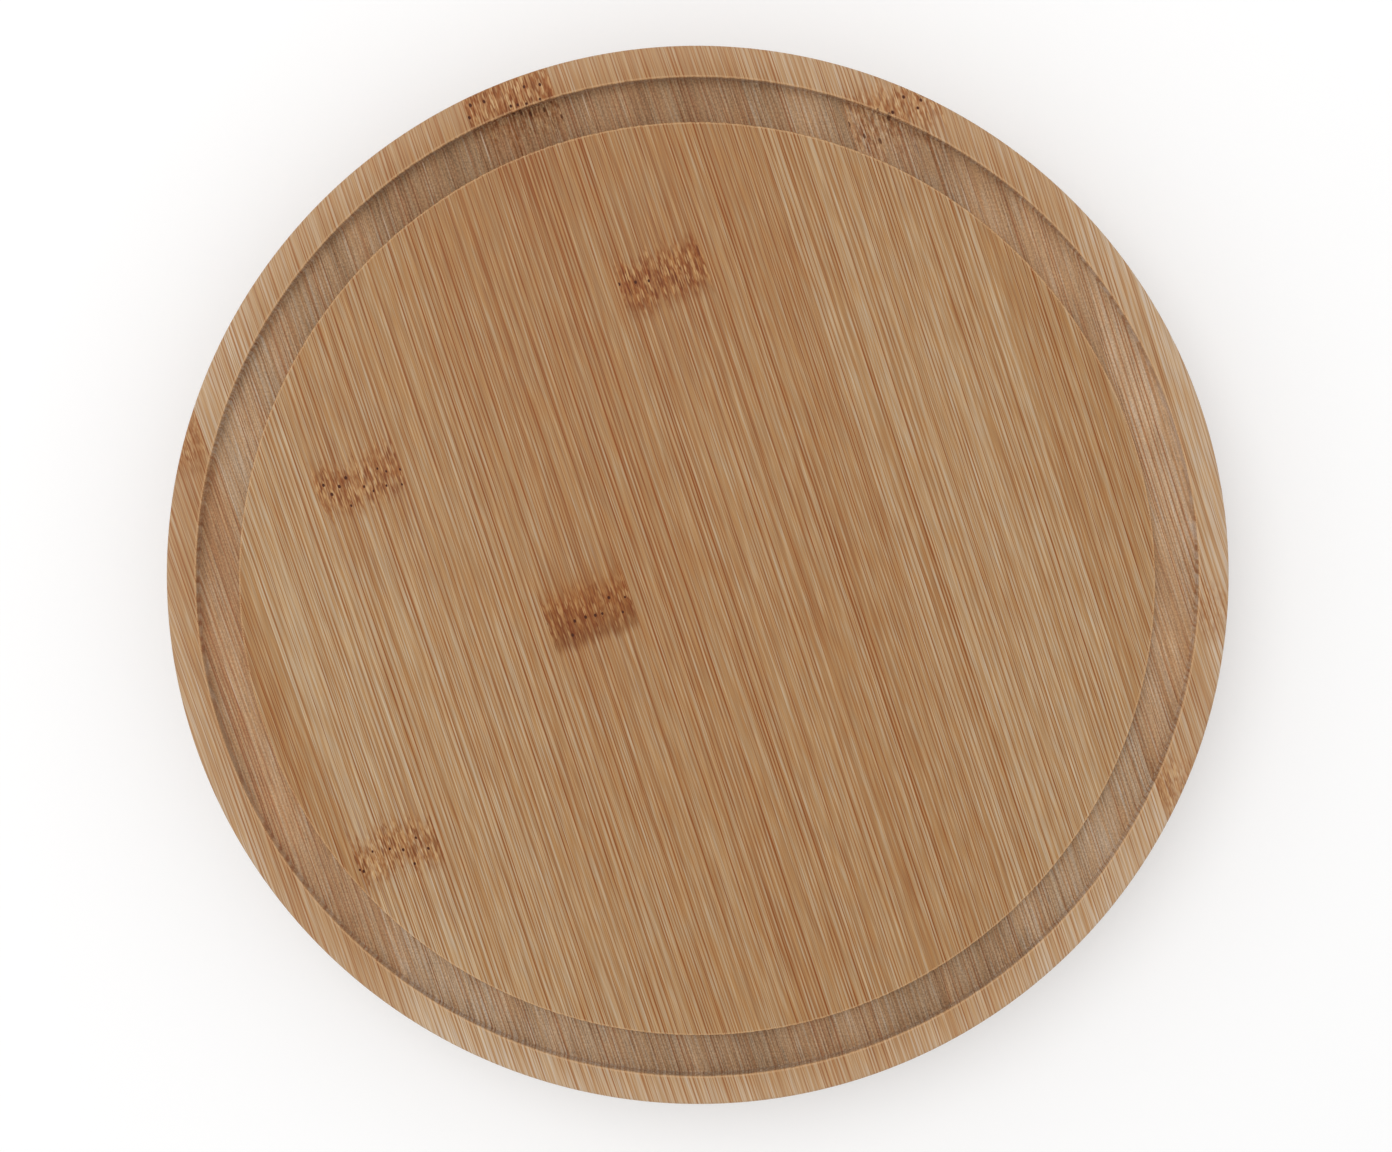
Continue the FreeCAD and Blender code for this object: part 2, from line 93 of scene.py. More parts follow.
# Parts of a node mark, each by where it starts, is full, begins to fade and ends along the grain, from the
# mark's middle, and the distance between the mark's dark pores.
TORN_SPAN = (-8.0, -2.0, 3.0, 8.0)
STAIN_SPAN = (-14.0, -1.0, 6.0, 9.0)
STREAK_SPAN = (-34.0, -3.0, 4.0, 38.0)
DOT_PITCH = 3.3

# Bamboo tone: 0 is the darkest streak and 1 the palest. The weights say how much each kind of streak adds,
# and "along" how much the tone rises per millimetre along the grain: a painted light gradient, not a
# streak.
BASE_TONE = 0.300
TONE_WEIGHTS = {
    "bands": 0.13,
    # Painted light: the board painted lighter towards its -Y side, along the grain.
    "along": 0.0005,
    "fine": 0.68,
    "pale": 0.07,
    "short": -0.13,
    "thin": -0.57,
    "dark": -0.29,
}
BAMBOO_SPECULAR = 0.2

# Turning lines per millimetre, and how much the roughness varies: with the lines and smudges of turned
# metal, with the pits of plated metal and with the grain of moulded parts.
TURNING_LINES = 9.0
LINE_GLOSS = 0.10
SMUDGE_GLOSS = 0.16
PIT_GLOSS = 0.14
GRAIN_GLOSS = 0.20

# One entry per glued strip: its tone and, where it shows one, its node mark. A mark has a place along the
# grain, and says how much stain, how many flecks and how many dots it has.
STRIPS = [
    {"tone": 0.03},
    {"tone": -0.09, "node": -71.0, "stain": 0.3, "flecks": 0.55, "dots": 0.0},
    {"tone": 0.10, "node": 37.6, "stain": 0.1, "flecks": 0.8, "dots": 1.0},
    {"tone": 0.01, "node": -49.3, "stain": 0.1, "flecks": 0.8, "dots": 1.0},
    {"tone": -0.03},
    {"tone": -0.06, "node": -3.0, "stain": 1.0, "flecks": 0.7, "dots": 0.9},
    {"tone": -0.09, "node": -121.0, "stain": 0.3, "flecks": 0.95, "dots": 0.7},
    {"tone": -0.06, "node": -71.5, "stain": 0.3, "flecks": 1.0, "dots": 0.4},
    {"tone": -0.055},
    {"tone": 0.035},
    {"tone": 0.04, "node": -90.0, "stain": 0.0, "flecks": 0.8, "dots": 0.5},
    {"tone": -0.045, "node": 79.0, "stain": 0.1, "flecks": 0.5, "dots": 0.0},
    {"tone": 0.06, "node": 43.0, "stain": 0.2, "flecks": 0.3, "dots": 0.1},
]


def paint(red, green, blue):
    """A linear colour from 8-bit display values."""
    linear = []
    for value in (red, green, blue):
        share = value / 255
        linear.append(share / 12.92 if share <= 0.04045 else ((share + 0.055) / 1.055) ** 2.4)
    return (*linear, 1.0)


# Bamboo colours.
DARK_STREAK = paint(133, 73, 29)
PLAIN_BAMBOO = paint(164, 124, 81)
PALE_STREAK = paint(194, 172, 142)
GLUE_BROWN = paint(112, 72, 40)
# Painted sheen: the rim wash below makes the rim paler and flatter, standing in for the light's haze there.
RIM_SHEEN_WASH = paint(168, 128, 88)
CUT_WASH = paint(172, 138, 108)
CUT_HAIR = paint(206, 186, 164)
# Painted highlight and wear: the pale lip colour stands partly for light caught on the eased lips and
# partly for frayed fibres.
FRAYED_LIP_AND_HIGHLIGHT = paint(212, 170, 126)
NODE_STREAK = paint(126, 70, 30)
NODE_DASH = paint(108, 52, 16)
NODE_CHIP = paint(200, 160, 108)
NODE_DOT = paint(66, 24, 2)

# Tints that a colour is multiplied by.
COOL_TINT = (0.96, 1.01, 1.10, 1.0)
WARM_TINT = (1.04, 0.99, 0.90, 1.0)
# Painted sheen: the rim tint below makes the rim paler towards the edge.
RIM_SHEEN_TINT = (1.18, 1.33, 1.62, 1.0)
CUT_TINT = (1.19, 1.26, 1.42, 1.0)
LIGHT_STAIN = (0.86, 0.72, 0.54, 1.0)
DEEP_STAIN = (0.64, 0.50, 0.37, 1.0)
RED_TINT = (0.90, 0.69, 0.47, 1.0)
DARK_MOTTLE = (0.77, 0.52, 0.33, 1.0)
PALE_MOTTLE = (1.20, 1.30, 1.34, 1.0)


# ---------------------------------------------------------------- shader nodes

class Graph:
    """One material's shader nodes, wired as they are added."""

    def __init__(self, name):
        self.material = bpy.data.materials.new(name)
        self.material.use_nodes = True
        self.nodes = self.material.node_tree.nodes
        self.links = self.material.node_tree.links
        self.shader = self.nodes["Principled BSDF"]

    def feed(self, socket, value):
        """Link a socket to another node's output, or set its constant."""
        if isinstance(value, bpy.types.NodeSocket):
            self.links.new(value, socket)
        else:
            socket.default_value = value

    def set(self, name, value):
        """Feed one of the surface shader's own sockets."""
        self.feed(self.shader.inputs[name], value)

    def math(self, operation, *values):
        node = self.nodes.new("ShaderNodeMath")
        node.operation = operation
        for socket, value in zip(node.inputs, values):
            self.feed(socket, value)
        return node.outputs[0]

    def vector(self, operation, *values):
        node = self.nodes.new("ShaderNodeVectorMath")
        node.operation = operation
        for socket, value in zip(node.inputs, values):
            self.feed(socket, value)
        return node.outputs["Value" if operation in ("DOT_PRODUCT", "LENGTH") else "Vector"]

    def combine(self, x, y, z):
        node = self.nodes.new("ShaderNodeCombineXYZ")
        for socket, value in zip(node.inputs, (x, y, z)):
            self.feed(socket, value)
        return node.outputs[0]

    def place(self):
        """The point on the object, in millimetres."""
        node = self.nodes.new("ShaderNodeTexCoord")
        return self.vector("MULTIPLY", node.outputs["Object"], (1 / MM, 1 / MM, 1 / MM))

    def noise(self, place, detail=2.0, roughness=0.5):
        """Smooth noise around 0.5 with features about one unit of place wide."""
        node = self.nodes.new("ShaderNodeTexNoise")
        self.feed(node.inputs["Vector"], place)
        node.inputs["Scale"].default_value = 1.0
        node.inputs["Detail"].default_value = detail
        node.inputs["Roughness"].default_value = roughness
        return node.outputs["Fac"]

    def cells(self, place):
        """Distance to the nearest of points scattered a unit apart, and that point's own value."""
        node = self.nodes.new("ShaderNodeTexVoronoi")
        self.feed(node.inputs["Vector"], place)
        node.inputs["Scale"].default_value = 1.0
        split = self.nodes.new("ShaderNodeSeparateColor")
        self.links.new(node.outputs["Color"], split.inputs["Color"])
        return node.outputs["Distance"], split.outputs["Red"]

    def lanes(self, place):
        """Distance to the nearest of points scattered a unit apart on a line, and two of its own values."""
        node = self.nodes.new("ShaderNodeTexVoronoi")
        node.voronoi_dimensions = "1D"
        self.feed(node.inputs["W"], place)
        node.inputs["Scale"].default_value = 1.0
        node.inputs["Randomness"].default_value = 0.8
        split = self.nodes.new("ShaderNodeSeparateColor")
        self.links.new(node.outputs["Color"], split.inputs["Color"])
        return node.outputs["Distance"], split.outputs["Red"], split.outputs["Green"]

    def ramp(self, value, low, high, start=0.0, end=1.0):
        """Smoothly from start, where value is low, to end, where it is high."""
        node = self.nodes.new("ShaderNodeMapRange")
        node.interpolation_type = "SMOOTHSTEP"
        for socket, number in zip(node.inputs, (value, low, high, start, end)):
            self.feed(socket, number)
        return node.outputs["Result"]

    def span(self, rising, falling, places):
        """1 between the inner two of four places, smoothly down to 0 at the outer two."""
        start, full, fade, end = places
        rise = self.ramp(rising, start, full)
        return self.math("MULTIPLY", rise, self.ramp(falling, fade, end, 1.0, 0.0))

    def mix(self, factor, first, second, blend="MIX"):
        """A colour between two colours."""
        node = self.nodes.new("ShaderNodeMix")
        node.data_type = "RGBA"
        node.blend_type = blend
        self.feed(node.inputs["Factor"], factor)
        self.feed(node.inputs[6], first)
        self.feed(node.inputs[7], second)
        return node.outputs[2]

    def palette(self, value, stops):
        """A colour from a row of (place, colour) stops."""
        node = self.nodes.new("ShaderNodeValToRGB")
        self.feed(node.inputs["Fac"], value)
        elements = node.color_ramp.elements
        while len(elements) < len(stops):
            elements.new(0.5)
        for element, (place, colour) in zip(elements, stops):
            element.position = place
            element.color = colour
        return node.outputs["Color"]

    def bump(self, height, strength, distance_mm):
        node = self.nodes.new("ShaderNodeBump")
        node.inputs["Strength"].default_value = strength
        node.inputs["Distance"].default_value = distance_mm * MM
        self.feed(node.inputs["Height"], height)
        self.links.new(node.outputs["Normal"], self.shader.inputs["Normal"])


# ---------------------------------------------------------------- bamboo

class Grain:
    """Where a point lies in a strip of three-ply bamboo, and the fibres there.

    The core ply's strips run crosswise.
    """

    def __init__(self, graph, seed, bottom, top):
        self.graph = graph
        self.seed = seed
        self.place = graph.place()
        split = graph.nodes.new("ShaderNodeSeparateXYZ")
        graph.links.new(self.place, split.inputs[0])
        self.height = split.outputs["Z"]
        flat = graph.combine(split.outputs["X"], split.outputs["Y"], 0.0)
        self.radius = graph.vector("LENGTH", flat)
        along = graph.vector("DOT_PRODUCT", self.place, tuple(GRAIN))
        straight = graph.vector("DOT_PRODUCT", self.place, tuple(ACROSS))
        crossing = graph.math("DIVIDE", along, graph.math("MAXIMUM", self.radius, 1.0))
        self.crossing = graph.math("MULTIPLY", crossing, crossing)

        ply = (top - bottom) / 3
        over_lower = graph.math("GREATER_THAN", self.height, bottom + ply)
        over_core = graph.math("GREATER_THAN", self.height, top - ply)
        below_top = graph.math("SUBTRACT", 1.0, over_core)
        core = graph.math("MULTIPLY", over_lower, below_top)
        turned = graph.math("MULTIPLY", core, graph.math("SUBTRACT", straight, along))
        self.along = graph.math("MULTIPLY_ADD", below_top, PLY_SHIFT_ALONG, along)
        self.along = graph.math("ADD", self.along, turned)
        straight = graph.math("MULTIPLY_ADD", below_top, PLY_SHIFT_ACROSS, straight)
        straight = graph.math("SUBTRACT", straight, turned)
        joint = graph.math("MINIMUM", self.off(bottom + ply), self.off(top - ply))
        self.glue = graph.ramp(joint, GLUE_LINE_EDGE, GLUE_LINE_FULL)

        lean = STRIP_LEAN * math.sin(seed * 12.9898)
        leaning = graph.math("MULTIPLY_ADD", self.along, lean, straight)
        wave = graph.noise(self.stretched(straight, WAVE_WIDTH, WAVE_LENGTH, WAVE_WIDTH), 1.0)
        self.across = graph.math("MULTIPLY_ADD", wave, WAVE_REACH, leaning)

    def off(self, level):
        """The point's distance above or below a level."""
        return self.graph.math("ABSOLUTE", self.graph.math("SUBTRACT", self.height, level))

    def offset(self, shift):
        """How far the strip's seed and a shift move a pattern."""
        return 17.3 * self.seed + 5.7 * shift

    def stretched(self, across, across_mm, along_mm, up_mm, shift=0.0):
        """The point in units of a feature's width, length and height, moved by the seed and a shift."""
        graph = self.graph
        offset = self.offset(shift)
        return graph.combine(
            graph.math("MULTIPLY_ADD", across, 1 / across_mm, offset),
            graph.math("MULTIPLY_ADD", self.along, 1 / along_mm, 0.37 * offset),
            graph.math("MULTIPLY_ADD", self.height, 1 / up_mm, 0.11 * offset),
        )

    def band(self, width, length, shift, detail=0.0, roughness=0.5):
        """Soft streaks of about this width and length."""
        place = self.stretched(self.across, width, length, 2 * width, shift)
        return self.graph.noise(place, detail, roughness)

    def fibres(self, width, length, fill, soft, shift):
        """Separate fibres: 1 on one, 0 between them, each with its own strength."""
        distance, value = self.graph.cells(self.stretched(self.across, width, length, 2 * width, shift))
        line = self.graph.ramp(distance, fill, self.graph.math("MULTIPLY", fill, soft))
        return self.graph.math("MULTIPLY", line, self.graph.ramp(value, 0.0, 1.0, 0.25, 1.0))

    def threads(self, spacing, width, breaks, shift):
        """Thin lines along the whole strip, each with its own width and strength, fading in and out."""
        graph = self.graph
        wander = self.band(9.0, 160.0, shift + 0.5)
        lane = graph.math("MULTIPLY_ADD", wander, 0.5 / spacing, self.offset(shift))
        lane = graph.math("MULTIPLY_ADD", self.across, 1 / spacing, lane)
        distance, value, girth = graph.lanes(lane)
        half = graph.math("MULTIPLY_ADD", girth, 0.5 * width / spacing, 0.3 * width / spacing)
        line = graph.ramp(distance, graph.math("MULTIPLY", half, 1.3), graph.math("MULTIPLY", half, 0.35))
        rise = graph.math("MULTIPLY", self.height, 0.8)
        own = graph.math("MULTIPLY", value, 90.0)
        flow = graph.combine(own, graph.math("DIVIDE", self.along, breaks), rise)
        fade = graph.ramp(graph.noise(flow, 1.0), 0.28, 0.58, 0.28, 1.0)
        strength = graph.math("MULTIPLY", graph.ramp(value, 0.0, 0.9, 0.38, 1.0), fade)
        return graph.math("MULTIPLY", line, strength)


def dot_row(graph, grain, offset, shift, share):
    """A wavering row of small dark pores across a strip, where the cane's bundles cross at its node."""
    count = graph.math("MULTIPLY_ADD", grain.across, 1 / DOT_PITCH, 0.31 * shift)
    step = graph.math("FLOOR", count)
    chance = graph.nodes.new("ShaderNodeTexWhiteNoise")
    chance.noise_dimensions = "1D"
    graph.feed(chance.inputs["W"], graph.math("ADD", step, 7.7 * grain.seed + shift))
    split = graph.nodes.new("ShaderNodeSeparateColor")
    graph.links.new(chance.outputs["Color"], split.inputs["Color"])
    aside = graph.math("MULTIPLY_ADD", split.outputs["Red"], -0.5, -0.25)
    aside = graph.math("ADD", graph.math("SUBTRACT", count, step), aside)
    aside = graph.math("MULTIPLY", aside, DOT_PITCH)
    ahead = graph.math("SUBTRACT", offset, graph.math("MULTIPLY_ADD", split.outputs["Green"], 4.4, -2.2))
    reach = graph.vector("LENGTH", graph.combine(aside, graph.math("MULTIPLY", ahead, 0.8), 0.0))
    size = graph.math("MULTIPLY_ADD", split.outputs["Blue"], 0.16, 0.30)
    dot = graph.ramp(reach, size, graph.math("MULTIPLY", size, 0.55))
    shown = graph.math("LESS_THAN", chance.outputs["Value"], share)
    return graph.math("MULTIPLY", dot, shown)


def node_mark(graph, grain, colour, strip, cut):
    """The cane's node: a stained band, short torn flecks, rows of dark pores, and streaks on each side.

    Where the channel is cut into it, it is longer and fainter, with hardly any stain.
    """
    sway = grain.band(13.0, 900.0, 21)
    ragged = grain.band(0.8, 900.0, 22)
    offset = graph.math("SUBTRACT", grain.along, strip["node"])
    offset = graph.math("MULTIPLY", offset, graph.math("MULTIPLY_ADD", cut, -0.4, 1.0))
    fainter = graph.math("MULTIPLY_ADD", cut, -0.25, 1.0)
    cleaner = graph.math("MULTIPLY_ADD", cut, -0.85, 1.0)
    offset = graph.math("ADD", offset, graph.math("MULTIPLY_ADD", sway, 5.0, -2.5))
    torn = graph.math("ADD", offset, graph.math("MULTIPLY_ADD", ragged, 8.0, -4.0))
    edge = graph.math("ADD", offset, graph.math("MULTIPLY_ADD", ragged, 4.4, -2.2))
    zone = graph.span(torn, torn, TORN_SPAN)
    zone = graph.math("MULTIPLY", zone, fainter)

    stain = graph.span(torn, edge, STAIN_SPAN)
    stain = graph.math("MULTIPLY", stain, cleaner)
    depth = graph.ramp(edge, -4.0, 7.0)
    stained = graph.mix(depth, LIGHT_STAIN, DEEP_STAIN)
    colour = graph.mix(graph.math("MULTIPLY", stain, strip["stain"]), colour, stained, "MULTIPLY")
    torn_up = graph.math("MULTIPLY", zone, strip["flecks"])
    reddened = graph.math("MULTIPLY", torn_up, cleaner)
    reddened = graph.math("MULTIPLY", reddened, 0.45 + 0.40 * strip["stain"])
    colour = graph.mix(reddened, colour, RED_TINT, "MULTIPLY")
    mottle = graph.ramp(grain.band(0.45, 1.8, 26, 1.0, 0.6), 0.34, 0.66)
    mottle = graph.mix(mottle, DARK_MOTTLE, PALE_MOTTLE)
    colour = graph.mix(torn_up, colour, mottle, "MULTIPLY")

    near = graph.span(torn, torn, STREAK_SPAN)
    streaks = graph.math("MULTIPLY", grain.threads(1.2, 0.42, 14.0, 23), near)
    colour = graph.mix(graph.math("MULTIPLY", streaks, 0.80 * strip["flecks"]), colour, NODE_STREAK)
    dashes = graph.math("MULTIPLY", grain.fibres(0.56, 3.4, 0.58, 0.55, 24), zone)
    colour = graph.mix(graph.math("MULTIPLY", dashes, strip["flecks"]), colour, NODE_DASH)
    chips = graph.math("MULTIPLY", grain.fibres(0.50, 3.4, 0.44, 0.6, 25), zone)
    colour = graph.mix(graph.math("MULTIPLY", chips, 0.75 * strip["flecks"]), colour, NODE_CHIP)

    dots = dot_row(graph, grain, offset, 27, strip["dots"])
    lower = dot_row(graph, grain, graph.math("SUBTRACT", offset, 3.0), 28, 0.5 * strip["dots"])
    dots = graph.math("MULTIPLY", graph.math("MAXIMUM", dots, lower), fainter)
    colour = graph.mix(dots, colour, NODE_DOT)
    dent = graph.math("MULTIPLY_ADD", dots, -0.5, graph.math("MULTIPLY", dashes, -0.6 * strip["flecks"]))
    return colour, dent


def turned_zones(graph, grain):
    """How far a point lies out on the rim, which sets the rim's painted sheen, and whether it lies in the
    cut channel.
    """
    outward = graph.ramp(grain.radius, CHANNEL_OUTER, BOARD_RADIUS, 0.45, 1.0)
    on_rim = graph.math("GREATER_THAN", grain.radius, CHANNEL_OUTER - 0.1)
    low = graph.ramp(grain.height, BOARD_TOP - 0.1, BOARD_TOP - 0.6)
    inside = graph.ramp(grain.radius, CHANNEL_INNER - 0.6, CHANNEL_INNER - 0.2)
    within = graph.ramp(grain.radius, CHANNEL_OUTER + 0.6, CHANNEL_OUTER + 0.2)
    cut = graph.math("MULTIPLY", low, graph.math("MULTIPLY", inside, within))
    return graph.math("MULTIPLY", outward, on_rim), cut


def channel_look(graph, grain, colour, rough, outward, cut):
    """The rim painted paler than the field as a painted sheen, pale lips that are partly frayed and partly
    a painted highlight, and the channel's dull, porous, cut floor.
    """
    # Painted sheen: the rim is tinted paler, more so towards the board's edge.
    colour = graph.mix(outward, colour, RIM_SHEEN_TINT, "MULTIPLY")
    colour = graph.mix(cut, colour, CUT_TINT, "MULTIPLY")
    pores = graph.noise(graph.vector("MULTIPLY", grain.place, (2.0, 2.0, 2.0)), 3.0, 0.7)
    pores = graph.ramp(pores, 0.36, 0.66, -0.16, 0.10)
    slits = grain.fibres(0.5, 6.0, 0.46, 0.6, 12)
    dulled = graph.math("MULTIPLY_ADD", grain.crossing, -0.25, pores)
    dulled = graph.math("MULTIPLY_ADD", slits, -0.16, dulled)
    dulled = graph.math("ADD", dulled, graph.ramp(grain.band(11.0, 45.0, 14, 1.0), 0.3, 0.7, -0.10, 0.08))
    shade = graph.math("MULTIPLY_ADD", cut, dulled, 1.0)
    colour = graph.mix(1.0, colour, graph.combine(shade, shade, shade), "MULTIPLY")
    rough = graph.math("MULTIPLY_ADD", cut, 0.25, rough)
    hair, chance = graph.cells(grain.stretched(grain.across, 0.5, 18.0, 1.0, 15))
    hair = graph.math("MULTIPLY", graph.ramp(hair, 0.42, 0.25), graph.math("GREATER_THAN", chance, 0.975))
    hair = graph.math("MULTIPLY", hair, cut)
    colour = graph.mix(graph.math("MULTIPLY", hair, 0.5), colour, CUT_HAIR)

    # Painted highlight and wear: a ragged pale line along both lips, partly light caught on their ease,
    # partly frayed fibres.
    speck = graph.noise(graph.vector("MULTIPLY", grain.place, (3.2, 3.2, 3.2)), 2.0, 0.7)
    ragged = graph.math("MULTIPLY_ADD", speck, 0.6, -0.3)
    reach = graph.math("ADD", grain.radius, ragged)
    inner = graph.math("ABSOLUTE", graph.math("SUBTRACT", reach, CHANNEL_INNER - 0.2))
    outer = graph.math("ABSOLUTE", graph.math("SUBTRACT", reach, CHANNEL_OUTER + 0.2))
    lip_fray_and_highlight = graph.ramp(graph.math("MINIMUM", inner, outer), 0.34, 0.08)
    lip_fray_and_highlight = graph.math("MULTIPLY", lip_fray_and_highlight, graph.ramp(grain.height, BOARD_TOP - 0.8, BOARD_TOP - 0.3))
    lip_fray_and_highlight = graph.math("MULTIPLY", lip_fray_and_highlight, graph.ramp(speck, 0.35, 0.60, 0.12, 0.5))
    colour = graph.mix(lip_fray_and_highlight, colour, FRAYED_LIP_AND_HIGHLIGHT)
    return colour, rough, graph.math("MULTIPLY", graph.math("MULTIPLY", cut, pores), 1.2)


def bamboo(name, seed, strip, bottom, top, channelled=False):
    """Oiled bamboo: soft bands, thin threads, short fibres, the node mark and the channel's dull floor."""
    graph = Graph(name)
    grain = Grain(graph, seed, bottom, top)

    streaks = {
        # Painted light: tone rising along the grain makes one side of the board lighter, as light falling
        # there would.
        "along": grain.along,
        "bands": grain.band(3.4, 80.0, 1, 2.0, 0.6),
        "dark": grain.threads(1.45, 0.40, 80.0, 3),
        "thin": grain.threads(0.72, 0.30, 60.0, 4),
        "pale": grain.threads(1.6, 0.44, 70.0, 5),
        "short": grain.fibres(0.45, 16.0, 0.50, 0.6, 9),
        "fine": grain.band(0.32, 13.0, 10, 1.0, 0.7),
    }
    hue = grain.band(0.6, 7.0, 11, 1.0)

    tone = BASE_TONE + strip["tone"]
    for kind, weight in TONE_WEIGHTS.items():
        tone = graph.math("MULTIPLY_ADD", streaks[kind], weight, tone)
    colour = graph.palette(tone, [(0.0, DARK_STREAK), (0.55, PLAIN_BAMBOO), (1.0, PALE_STREAK)])
    tint = graph.mix(graph.ramp(hue, 0.25, 0.75), COOL_TINT, WARM_TINT)
    colour = graph.mix(1.0, colour, tint, "MULTIPLY")
    colour = graph.mix(graph.math("MULTIPLY", grain.glue, 0.55), colour, GLUE_BROWN)
    height = graph.math("MULTIPLY", streaks["fine"], 0.35)
    height = graph.math("MULTIPLY_ADD", streaks["dark"], -0.6, height)
    rough = graph.ramp(streaks["fine"], 0.2, 0.8, 0.46, 0.58)

    cut = 0.0
    if channelled:
        outward, cut = turned_zones(graph, grain)
        # Painted sheen: a paler, flatter wash over the rim.
        colour = graph.mix(graph.math("MULTIPLY", outward, 0.32), colour, RIM_SHEEN_WASH)
        colour = graph.mix(graph.math("MULTIPLY", cut, 0.22), colour, CUT_WASH)

    if "node" in strip:
        colour, dent = node_mark(graph, grain, colour, strip, cut)
        height = graph.math("ADD", height, dent)

    if channelled:
        colour, rough, dent = channel_look(graph, grain, colour, rough, outward, cut)
        height = graph.math("ADD", height, dent)

    graph.set("Base Color", colour)
    graph.set("Roughness", rough)
    graph.set("Specular IOR Level", BAMBOO_SPECULAR)
    graph.bump(height, 0.35, 0.12)
    return graph.material


# ---------------------------------------------------------------- metals, nylon and rubber

def turned_metal(name, colour, roughness):
    """Metal with fine turning lines round the Z axis and a few soft smudges."""
    graph = Graph(name)
    place = graph.place()
    split = graph.nodes.new("ShaderNodeSeparateXYZ")
    graph.links.new(place, split.inputs[0])
    radius = graph.vector("LENGTH", graph.combine(split.outputs["X"], split.outputs["Y"], 0.0))
    outward = graph.math("MULTIPLY", radius, TURNING_LINES)
    upward = graph.math("MULTIPLY", split.outputs["Z"], TURNING_LINES)
    lines = graph.noise(graph.combine(outward, 0.0, upward), 3.0, 0.7)
    smudge = graph.noise(graph.vector("MULTIPLY", place, (0.12, 0.12, 0.12)), 3.0)
    dull = paint(*(round(value * 0.93) for value in colour))
    graph.set("Base Color", graph.mix(graph.ramp(lines, 0.35, 0.65), dull, paint(*colour)))
    graph.set("Metallic", 1.0)
    spread = graph.math("MULTIPLY_ADD", lines, LINE_GLOSS, graph.math("MULTIPLY", smudge, SMUDGE_GLOSS))
    graph.set("Roughness", graph.math("ADD", spread, roughness - 0.5 * (LINE_GLOSS + SMUDGE_GLOSS)))
    graph.bump(lines, 0.25, 0.02)
    return graph.material


def plated_metal(name, colour, tint, roughness, grain_mm):
    """Plated or ground metal: cloudy tint, fine pits and uneven gloss."""
    graph = Graph(name)
    place = graph.place()
    cloud = graph.noise(graph.vector("MULTIPLY", place, (0.5, 0.5, 0.5)), 3.0)
    pits = graph.noise(graph.vector("MULTIPLY", place, (1 / grain_mm,) * 3), 2.0, 0.6)
    graph.set("Base Color", graph.mix(graph.ramp(cloud, 0.35, 0.65), paint(*colour), paint(*tint)))
    graph.set("Metallic", 1.0)
    graph.set("Roughness", graph.math("MULTIPLY_ADD", pits, PIT_GLOSS, roughness - 0.5 * PIT_GLOSS))
    graph.bump(pits, 0.2, 0.02)
    return graph.material


def moulded(name, light, dark, roughness, grain_mm):
    """Moulded nylon or rubber: fine matte grain with slight mottling."""
    graph = Graph(name)
    place = graph.place()
    mottle = graph.noise(graph.vector("MULTIPLY", place, (0.4, 0.4, 0.4)), 4.0, 0.6)
    pits = graph.noise(graph.vector("MULTIPLY", place, (1 / grain_mm,) * 3), 2.0, 0.7)
    graph.set("Base Color", graph.mix(graph.ramp(mottle, 0.3, 0.7), paint(*dark), paint(*light)))
    graph.set("Roughness", graph.math("MULTIPLY_ADD", pits, GRAIN_GLOSS, roughness - 0.5 * GRAIN_GLOSS))
    graph.bump(pits, 0.5, 0.04)
    return graph.material


# ---------------------------------------------------------------- board

def arc(centre, radius, start_deg, end_deg, steps):
    """Points round a circle in the board's section, as (distance from the axis, height)."""
    points = []
    for step in range(steps + 1):
        angle = math.radians(start_deg + (end_deg - start_deg) * step / steps)
        points.append((centre[0] + radius * math.cos(angle), centre[1] + radius * math.sin(angle)))
    return points


def board_section():
    """The board's section from the underside, round the edge and over the channel to the serving face."""
    edge = BOARD_RADIUS - BOARD_ROUND
    floor = BOARD_TOP - CHANNEL_DEPTH
    section = arc((edge, BOARD_BOTTOM + BOARD_ROUND), BOARD_ROUND, -90, 0, 8)
    section += arc((edge, BOARD_TOP - BOARD_ROUND), BOARD_ROUND, 0, 90, 8)
    section += arc((CHANNEL_OUTER + LIP_EASE, BOARD_TOP - LIP_EASE), LIP_EASE, 90, 180, 4)
    section += arc((CHANNEL_OUTER - CHANNEL_COVE, floor + CHANNEL_COVE), CHANNEL_COVE, 0, -90, 5)
    section += arc((CHANNEL_INNER + CHANNEL_COVE, floor + CHANNEL_COVE), CHANNEL_COVE, -90, -180, 5)
    section += arc((CHANNEL_INNER - LIP_EASE, BOARD_TOP - LIP_EASE), LIP_EASE, 0, 90, 4)
    return section


def frayed(distance, height, turn):
    """How far a lip's point stands off its circle: fibres cut across leave a ragged edge."""
    near_lip = min(abs(distance - CHANNEL_INNER), abs(distance - CHANNEL_OUTER)) < 2 * LIP_EASE
    if not near_lip or height < BOARD_TOP - 2 * LIP_EASE or height > BOARD_TOP - 1e-6:
        return 0.0
    outward = Vector((math.cos(turn), math.sin(turn), 0.0))
    crossing = abs(outward.dot(GRAIN)) ** 2
    along_edge = outward * distance * FRAY_BUMPS
    return FRAY_REACH * crossing * noise.noise(along_edge)


